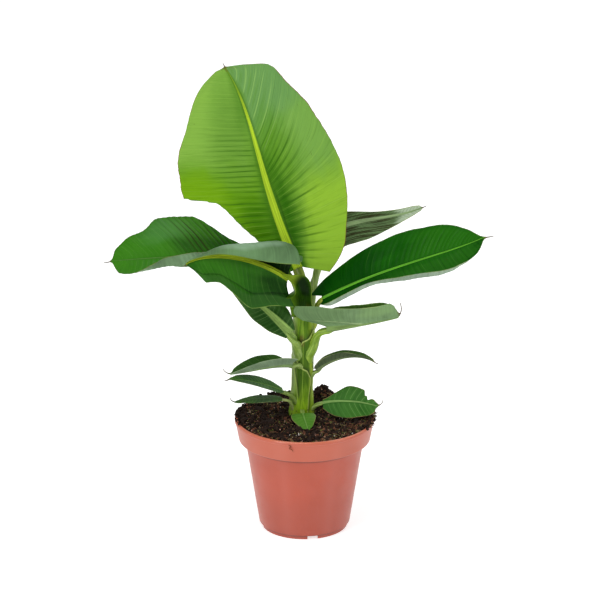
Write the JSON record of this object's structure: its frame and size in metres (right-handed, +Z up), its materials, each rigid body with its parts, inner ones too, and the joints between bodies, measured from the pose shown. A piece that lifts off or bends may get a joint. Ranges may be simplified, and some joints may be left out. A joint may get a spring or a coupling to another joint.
{
  "type": "potted banana plant",
  "caption": "Young banana plant in a round terracotta-coloured plastic nursery pot: one pseudostem, a large upright crown blade and paddle leaves spreading to both sides.",
  "frame": {"origin": "centre of the pot's flat underside, at floor level", "axes": "+Z up along the pot's axis, -Y towards the viewer of the picture, +X to the viewer's right"},
  "size_m": [0.4647, 0.1991, 0.5651],
  "materials": {
    "pot": "satin",
    "soil": "matte",
    "pseudostem": "satin",
    "stalk": "satin",
    "leaf": "satin",
    "crown_leaf": "satin"
  },
  "bodies": {
    "root": {"pot": "pot", "soil": "soil", "pseudostem": "pseudostem", "stalk_crown": "stalk", "stalk_front_left": "stalk", "stalk_back_left": "stalk", "stalk_right": "stalk", "stalk_back_right": "stalk", "stalk_mid_right": "stalk", "stalk_mid_left": "stalk", "stalk_low_right": "stalk", "stalk_low_left": "stalk", "stalk_lower_left": "stalk", "stalk_base_left": "stalk", "stalk_base_right": "stalk", "stalk_base_front": "stalk", "leaf_crown": "crown_leaf", "leaf_front_left": "leaf", "leaf_back_left": "leaf", "leaf_right": "leaf", "leaf_back_right": "leaf", "leaf_mid_right": "leaf", "leaf_mid_left": "leaf", "leaf_low_right": "leaf", "leaf_low_left": "leaf", "leaf_lower_left": "leaf", "leaf_base_left": "leaf", "leaf_base_right": "leaf", "leaf_base_front": "leaf"}
  },
  "joints": []
}
